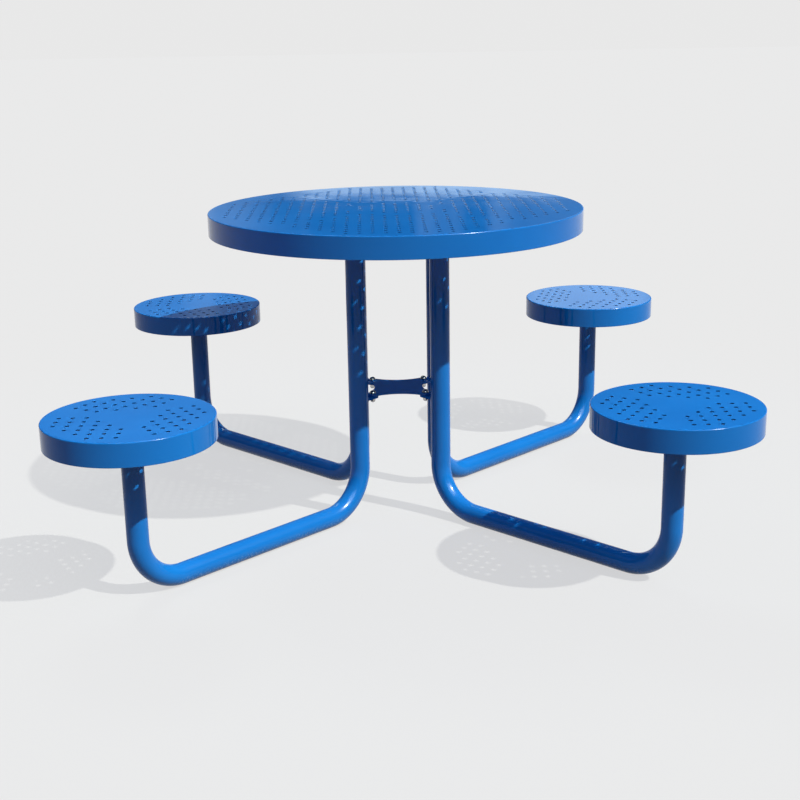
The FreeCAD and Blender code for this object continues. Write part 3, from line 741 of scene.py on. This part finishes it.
def make_leg(name, angle):
    """One leg: tube, plate under the top, flange under the seat and ear for the centre plate."""
    make_tube(name, angle)
    leg_holes = [((POST_RADIUS + side * LEG_BOLT_OFFSET, 0.0), LEG_BOLT_HOLE) for side in (-1, 1)]
    make_plate(f"top_plate_{name}", f"leg_top_plate_{name}", leg_plate_outline(), leg_holes, turn(angle))
    flange_holes = [(polar(SEAT_BOLT_RADIUS, group)[:2], SEAT_BOLT_HOLE) for group in SEAT_GROUPS]
    make_plate(f"seat_flange_{name}", f"leg_seat_flange_{name}", loop(FLANGE_RADIUS, FLANGE_SIDES),
               flange_holes, seat_place(angle))
    make_plate(f"ear_{name}", f"leg_ear_{name}", ear_outline(),
               [((CENTRE_BOLT_RADIUS, 0.0), CENTRE_BOLT_HOLE)], turn(angle))


# Welds

def weld(builder, corner, first, second, length, closed=False):
    """Rippled fillet bead of a length: functions give the corner of the joint at a way along it, and the
    directions in which the two joined faces leave the corner."""
    count = round(length / BEAD_STEP)
    ways = [length * n / count for n in range(count if closed else count + 1)]
    rings = []
    for way in ways:
        leg = BEAD_LEG * (1 - BEAD_DIP + BEAD_DIP * abs(math.sin(math.pi * way / BEAD_RIPPLE)))
        if not closed:
            leg *= min(1.0, BEAD_END + (1 - BEAD_END) * min(way, length - way) / BEAD_LEG)
        start, along, up = corner(way), first(way), second(way)
        ring = [start - BEAD_ROOT * leg * (along + up), start + leg * along - BEAD_TOE * leg * up]
        for part in BEAD_PARTS:
            bulge = BEAD_BULGE * math.sin(math.pi * part)
            ring.append(start + leg * ((1 - part + bulge) * along + (part + bulge) * up))
        ring.append(start + leg * up - BEAD_TOE * leg * along)
        rings.append(builder.ring(ring))
    travel = corner(ways[1]) - corner(ways[0])
    if travel.dot(first(0.0).cross(second(0.0))) < 0:
        rings.reverse()
    for lower, upper in zip(rings, rings[1:]):
        builder.band(lower, upper)
    if closed:
        builder.band(rings[-1], rings[0])
    else:
        builder.cap(rings[0], upward=False)
        builder.cap(rings[-1])


def ring_weld(builder, x, z, up, start=0.0, swing=360.0):
    """Bead round a tube whose axis is at x, where a flat face meets it at a level, on an arc."""
    def direction(way):
        return polar(1.0, start + math.degrees(way / TUBE_RADIUS))

    weld(builder, lambda way: Vector((x, 0, z)) + TUBE_RADIUS * direction(way), direction,
         lambda way: Vector((0, 0, up)), math.radians(swing) * TUBE_RADIUS, closed=swing == 360.0)


def strip_welds(builder, place, half, under, depth, end, stitches):
    """Beads on both sides of a folded strip under a sheet: stitches along it, and its end on the rim."""
    down = Vector((0, 0, -1))
    for side in (-1, 1):
        out = place.to_3x3() @ Vector((0, side, 0))
        ahead = place.to_3x3() @ Vector((1, 0, 0))
        for x in stitches:
            begin = place @ Vector((x - STITCH / 2, side * half, under))
            weld(builder, lambda way: begin + way * ahead, lambda way: out, lambda way: down, STITCH)
        begin = place @ Vector((end, side * half, under - BEAD_LEG))
        weld(builder, lambda way: begin + way * down, lambda way: out, lambda way: -ahead,
             depth - 2 * BEAD_LEG)


def make_leg_welds(name, angle):
    """Beads of a leg: round its post under the plate, round its seat post under the flange, at its ear."""
    builder = Builder()
    swing = 2 * math.degrees(math.asin(LOBE_RADIUS / TUBE_RADIUS)) - 2 * EAR_WELD_STOP
    ear_low, ear_high = box_levels(f"leg_ear_{name}")
    ring_weld(builder, POST_RADIUS, box_levels(f"leg_top_plate_{name}")[0], -1)
    ring_weld(builder, SEAT_CIRCLE, FLANGE_LOW_Z, -1)
    ring_weld(builder, POST_RADIUS, ear_high, 1, 180.0 - swing / 2, swing)
    ring_weld(builder, POST_RADIUS, ear_low, -1, 180.0 - swing / 2, swing)
    builder.piece(f"leg_welds_{name}", PAINT, place=turn(angle))


def make_frame_welds():
    """Beads of the channels under the top and of the spiders under the seats, between the holes."""
    builder = Builder()
    end = math.sqrt((TOP_RADIUS - RIM_WALL) ** 2 - RIB_HALF ** 2)
    stitches = [PITCH * math.sqrt(2) * step for step in RIB_STITCHES]
    for angle in RIB_ANGLES:
        strip_welds(builder, turn(angle), RIB_HALF, TOP_Z - SHEET, RIB_DEPTH, end, stitches)
    builder.piece("top_channel_welds", PAINT)
    end = math.sqrt((SEAT_RADIUS - RIM_WALL) ** 2 - ARM_HALF ** 2)
    for name, angle in LEGS.items():
        builder = Builder()
        for arm in ARM_ANGLES:
            strip_welds(builder, turn(arm), ARM_HALF, SEAT_Z - SHEET, ARM_DEPTH, end, [ARM_STITCH_RADIUS])
        builder.piece(f"seat_spider_welds_{name}", PAINT, place=seat_place(angle))


# Centre plate

def centre_outline():
    """Outline of the centre plate: four round lobes with a hollow curve between them."""
    reach = CENTRE_BOLT_RADIUS / math.sqrt(2)
    step = reach - PLATE_WAIST
    hollow = (reach ** 2 + step ** 2 - LOBE_RADIUS ** 2) / (2 * (LOBE_RADIUS + step))
    centre_x = PLATE_WAIST + hollow
    swing = math.degrees(math.atan2(reach, centre_x - reach))
    waist = arc((centre_x, 0.0), hollow, 180 + swing, 180 - swing, LOBE_STEPS)[1:-1]
    lobe = arc((reach, reach), LOBE_RADIUS, -swing, 90 + swing, LOBE_STEPS)
    return [(turn(90.0 * side) @ Vector((x, y, 0))).to_2d() for side in range(4) for x, y in waist + lobe]


def make_centre_plate():
    """Plate that ties the four legs together."""
    holes = [(polar(CENTRE_BOLT_RADIUS, angle)[:2], CENTRE_BOLT_HOLE) for angle in LEGS.values()]
    make_plate("lobed_centre_plate", "centre_plate", centre_outline(), holes)


# Fasteners

def hex_body(builder, flats, bottom, top, centre, crowned=1):
    """Open hexagon with the corners of one end turned off: crowned is 1 for the top, -1 for the bottom."""
    turned_radius = HEX_TURNED * flats
    slope = math.tan(math.radians(HEX_CHAMFER))
    radii = [flats / 2 / math.cos((n * 2 * math.pi / HEX_SIDES + math.pi / 6) % (math.pi / 3) - math.pi / 6)
             for n in range(HEX_SIDES)]
    plain, crown = (bottom, top) if crowned > 0 else (top, bottom)
    edge = [crown - crowned * (radius - turned_radius) * slope for radius in radii]
    levels = ([(radius, plain) for radius in radii], list(zip(radii, edge)),
              [(turned_radius, crown)] * HEX_SIDES)
    rings = [builder.ring([(centre.x + r * d.x, centre.y + r * d.y, centre.z + z)
                           for (r, z), d in zip(level, loop(1.0, HEX_SIDES))]) for level in levels]
    if crowned < 0:
        rings.reverse()
    for lower, upper in zip(rings, rings[1:]):
        builder.band(lower, upper)
    return rings


def hex_solid(builder, flats, bottom, top, centre, crowned=1):
    """Closed hexagon."""
    rings = hex_body(builder, flats, bottom, top, centre, crowned)
    builder.cap(rings[0], upward=False)
    builder.cap(rings[-1])


def flat_ring(builder, outer, inner, bottom, top, centre):
    """Washer with eased edges."""
    profile = [(inner, bottom), (outer - WASHER_EASE, bottom), (outer, bottom + WASHER_EASE),
               (outer, top - WASHER_EASE), (outer - WASHER_EASE, top), (inner, top)]
    lathe(builder, profile, HEAD_SIDES, centre, closed=True)


def make_plated_fasteners():
    """Zinc plated bolts, washers and nuts under the top and the seats."""
    places = {"top": [polar(POST_RADIUS + side * LEG_BOLT_OFFSET, angle)
                      for angle in LEGS.values() for side in (-1, 1)],
              "seat": [polar(SEAT_CIRCLE, angle) + turn(angle) @ polar(SEAT_BOLT_RADIUS, group)
                       for angle in LEGS.values() for group in SEAT_GROUPS]}
    for kind, bolt in PLATED_BOLTS.items():
        bolts, washers, nuts = Builder(), Builder(), Builder()
        washer_low, washer_high = box_levels(f"{kind}_mount_washers")
        nut_low, nut_high = box_levels(f"{kind}_weld_nuts")
        bolt_high = box_levels(f"{kind}_mount_bolts")[1]
        radius = bolt.thread / 2
        shank = [(radius, washer_low), (radius, bolt_high - THREAD_CHAMFER),
                 (radius - THREAD_CHAMFER, bolt_high)]
        for place in places[kind]:
            hex_solid(bolts, bolt.flats, washer_low - bolt.head, washer_low, place, crowned=-1)
            lathe(bolts, shank, SHANK_SIDES, place)
            flat_ring(washers, bolt.washer / 2, radius + WASHER_CLEARANCE, washer_low, washer_high, place)
            hex_solid(nuts, bolt.flats, nut_low, nut_high, place)
        bolts.piece(f"{kind}_hex_bolts", ZINC, (f"{kind}_mount_bolts",))
        washers.piece(f"{kind}_washers", ZINC, (f"{kind}_mount_washers",))
        nuts.piece(f"{kind}_nuts", ZINC, (f"{kind}_weld_nuts",))


def make_centre_fasteners():
    """Stainless round headed bolts and washers on the centre plate, with domed nuts under the ears."""
    bolts, washers, nuts = Builder(), Builder(), Builder()
    washer_low, washer_high = box_levels("centre_washers")
    nut_low, nut_high = box_levels("centre_dome_nuts")
    bolt_low, bolt_high = box_levels("centre_bolts")
    rise = bolt_high - washer_high
    sphere = (CENTRE_HEAD_RADIUS ** 2 + rise ** 2) / (2 * rise)
    edge = math.degrees(math.asin((sphere - rise) / sphere))
    dome = arc((0.0, bolt_high - sphere), sphere, edge, DOME_END, DOME_STEPS)
    shank = [(CENTRE_THREAD_RADIUS, bolt_low), (CENTRE_THREAD_RADIUS, washer_high),
             (CENTRE_HEAD_RADIUS - CENTRE_HEAD_EASE, washer_high)]
    hex_low = nut_high - DOME_NUT_HEX
    drop = hex_low - nut_low
    dome_angles = [math.radians(angle) for angle in range(0, DOME_END + 1, DOME_NUT_STEP)]
    for angle in LEGS.values():
        place = polar(CENTRE_BOLT_RADIUS, angle)
        lathe(bolts, shank + dome, HEAD_SIDES, place)
        flat_ring(washers, *CENTRE_WASHER_RADII, washer_low, washer_high, place)
        rings = hex_body(nuts, DOME_NUT_FLATS, hex_low, nut_high, place, crowned=-1)
        nuts.cap(rings[-1])
        last = rings[0]
        for a in dome_angles:
            z = hex_low - drop * math.sin(a)
            ring = nuts.ring([(place.x + p.x, place.y + p.y, z)
                              for p in loop(DOME_NUT_NECK * math.cos(a), HEX_SIDES)])
            nuts.band(ring, last)
            last = ring
        nuts.cap(last, upward=False)
    bolts.piece("centre_round_bolts", STAINLESS, ("centre_bolts",))
    washers.piece("centre_flat_washers", STAINLESS, ("centre_washers",))
    nuts.piece("centre_domed_nuts", STAINLESS, ("centre_dome_nuts",))


def paint_kept_nodes():
    """Finish of the solids that stay as they are: the channels and the spiders."""
    kept = ["table_rib_long", "table_rib_short_left", "table_rib_short_right"]
    kept += [f"seat_spider_{name}" for name in LEGS]
    for name in kept:
        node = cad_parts[name]
        node.data.materials.clear()
        node.data.materials.append(MATERIALS[PAINT])
        bevel = node.modifiers.new("eased_edges", "BEVEL")
        bevel.width = PLATE_ROUND
        bevel.segments = BEVEL_SEGMENTS
        bevel.limit_method = "ANGLE"
        bevel.angle_limit = SMOOTH_ANGLE
        node.modifiers.new("weighted_normals", "WEIGHTED_NORMAL").keep_sharp = True


# Stage

def make_floor():
    """Wide pale floor at the ground."""
    corners = [(sx * FLOOR_HALF, sy * FLOOR_HALF, 0) for sx, sy in ((-1, -1), (1, -1), (1, 1), (-1, 1))]
    mesh = bpy.data.meshes.new("floor")
    mesh.from_pydata(corners, [], [(0, 1, 2, 3)])
    mesh.materials.append(floor_material())
    floor = bpy.data.objects.new("floor", mesh)
    bpy.context.scene.collection.objects.link(floor)


def add_sun(lamp):
    """Lamp of parallel light that comes from a direction."""
    light = bpy.data.lights.new(lamp.name, "SUN")
    light.energy = lamp.energy
    light.color = lamp.colour
    light.angle = math.radians(lamp.angle)
    sun = bpy.data.objects.new(lamp.name, light)
    sun.rotation_euler = Vector(lamp.direction).to_track_quat("Z", "Y").to_euler()
    bpy.context.scene.collection.objects.link(sun)
    return sun


def make_lamps():
    """Key from the front right, its highlights alone, and a soft fill from behind."""
    add_sun(KEY)
    add_sun(GLINT).visible_diffuse = False
    add_sun(FILL)


def strip_levels(graph, x, y, height):
    """Level of the soft upright strips, which are uneven round the horizon and fade out at both ends."""
    around = graph.join("ARCTAN2", x, y)
    uneven = graph.nodes.new("ShaderNodeTexNoise")
    uneven.noise_dimensions = "1D"
    uneven.inputs["Scale"].default_value = STRIPS.scale
    uneven.inputs["Detail"].default_value = STRIPS.detail
    graph.feed(uneven.inputs["W"], graph.join("SUBTRACT", around, STRIP_TURN))
    strips = graph.remap(uneven.outputs["Fac"], STRIP_NOISE, (0.0, STRIP_LEVEL))
    rise = graph.remap(height, STRIP_FOOT, (0.0, 1.0))
    fall = graph.remap(height, STRIP_HEAD, (1.0, 0.0))
    return graph.join("MULTIPLY", strips, graph.join("MULTIPLY", rise, fall))


def make_surround():
    """What is seen and mirrored round the table, pale at the horizon and dim above it with a shaded spot,
    strips and glows, and the plain soft light that falls on the table instead."""
    world = bpy.data.worlds.new("studio")
    world.use_nodes = True
    graph = Graph(world.node_tree)
    direction = graph.source("ShaderNodeTexCoord", "Generated")
    x, y, height = graph.split(direction)
    sky = graph.ramp(height, [(place, level, SKY_TINT if place > TINTED_FROM else WHITE)
                              for place, level in SURROUND])
    shaded = graph.vector("SCALE", "Vector", {0: sky, "Scale": graph.spot(direction, 1.0, SHADE)})
    glows = [graph.spot(direction, 0.0, glow) for glow in GLOWS]
    added = graph.join("ADD", strip_levels(graph, x, y, height), *glows)
    mirrored = graph.vector("MULTIPLY_ADD", "Vector", {0: added, 1: SKY_TINT, 2: shaded})
    soft = graph.ramp(height, [(place, level, SOFT_TINT) for place, level in SOFT_LIGHT])
    background = world.node_tree.nodes["Background"]
    graph.feed(background.inputs["Color"], graph.mix(graph.seen(), soft, mirrored))
    bpy.context.scene.world = world


def make_camera():
    """Camera where the photograph was taken from: a little left of the front, looking down."""
    back = Vector((math.sin(CAMERA_AZIMUTH) * math.cos(CAMERA_ELEVATION),
                   -math.cos(CAMERA_AZIMUTH) * math.cos(CAMERA_ELEVATION), math.sin(CAMERA_ELEVATION)))
    level = Vector((math.cos(CAMERA_AZIMUTH), math.sin(CAMERA_AZIMUTH), 0.0))
    right = math.cos(CAMERA_ROLL) * level + math.sin(CAMERA_ROLL) * back.cross(level)
    up = back.cross(right)
    data = bpy.data.cameras.new("camera")
    data.sensor_width = CAMERA_SENSOR
    data.lens = CAMERA_LENS
    camera = bpy.data.objects.new("camera", data)
    rotation = Matrix((right, up, back)).transposed().to_4x4()
    camera.matrix_world = Matrix.Translation(CAMERA_TARGET + back * CAMERA_DISTANCE) @ rotation
    bpy.context.scene.collection.objects.link(camera)
    bpy.context.scene.camera = camera


make_pans()
for leg_name, leg_angle in LEGS.items():
    make_leg(leg_name, leg_angle)
    make_leg_welds(leg_name, leg_angle)
make_frame_welds()
make_centre_plate()
make_plated_fasteners()
make_centre_fasteners()
paint_kept_nodes()
make_floor()
make_lamps()
make_surround()
make_camera()
bpy.context.scene.view_settings.view_transform = "Standard"
